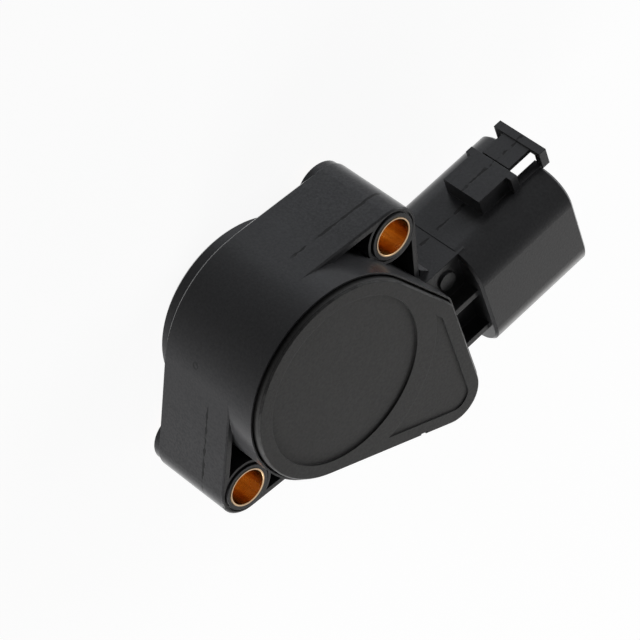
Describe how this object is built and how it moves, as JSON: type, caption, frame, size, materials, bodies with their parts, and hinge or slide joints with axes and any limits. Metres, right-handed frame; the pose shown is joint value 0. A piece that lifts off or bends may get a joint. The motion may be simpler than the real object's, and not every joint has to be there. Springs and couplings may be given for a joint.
{
  "type": "accelerator pedal sensor",
  "caption": "Round plastic pedal position sensor with two brass-bushed mounting ears, a welded front cover, a side connector shroud with a latch bridge and a sprung rotor driven from the rear.",
  "frame": {"origin": "on the rotor's turning axis, in the plane of the drum's rear edge", "axes": "+Z along the turning axis out of the front cover, +X towards the connector's mouth, +Y to the connector's latch side"},
  "size_m": [0.0903, 0.0565, 0.0307],
  "materials": {
    "housing_plastic": "fine matte moulded black",
    "cover_plastic": "fine spark-eroded matte black",
    "seal_rubber": "smooth black",
    "bushing_brass": "bright drawn sleeve",
    "rotor_plastic": "plain moulded dark grey",
    "washer_plastic": "smooth white",
    "spring_steel": "drawn wire",
    "contact_metal": "stamped sheet",
    "film_ink": "printed carbon film",
    "board_laminate": "brown laminate",
    "terminal_tin": "tin plate"
  },
  "bodies": {
    "sensor_body": {"housing": "housing_plastic", "front_cover": "cover_plastic", "cover_seal": "seal_rubber", "upper_bushing": "bushing_brass", "lower_bushing": "bushing_brass", "thrust_washer": "washer_plastic", "shaft_seal": "seal_rubber", "seal_retainer": "rotor_plastic", "return_spring": "spring_steel", "film_tracks": "film_ink", "element_board": "board_laminate", "solder_joints": "terminal_tin", "terminal_1": "terminal_tin", "terminal_2": "terminal_tin", "terminal_3": "terminal_tin", "terminal_4": "terminal_tin", "terminal_5": "terminal_tin", "terminal_6": "terminal_tin"},
    "rotor_body": {"rotor": "rotor_plastic", "throttle_wiper": "contact_metal", "idle_wiper": "contact_metal"}
  },
  "joints": [
    {"name": "rotor_turn", "type": "hinge", "parent": "sensor_body", "child": "rotor_body", "pos_m": [0, 0, 0], "axis": [0, 0, 1], "range_deg": [0, 75], "stiffness_Nm_per_rad": 0.03, "springref_deg": -57.3, "deforming": ["return_spring"]}
  ]
}
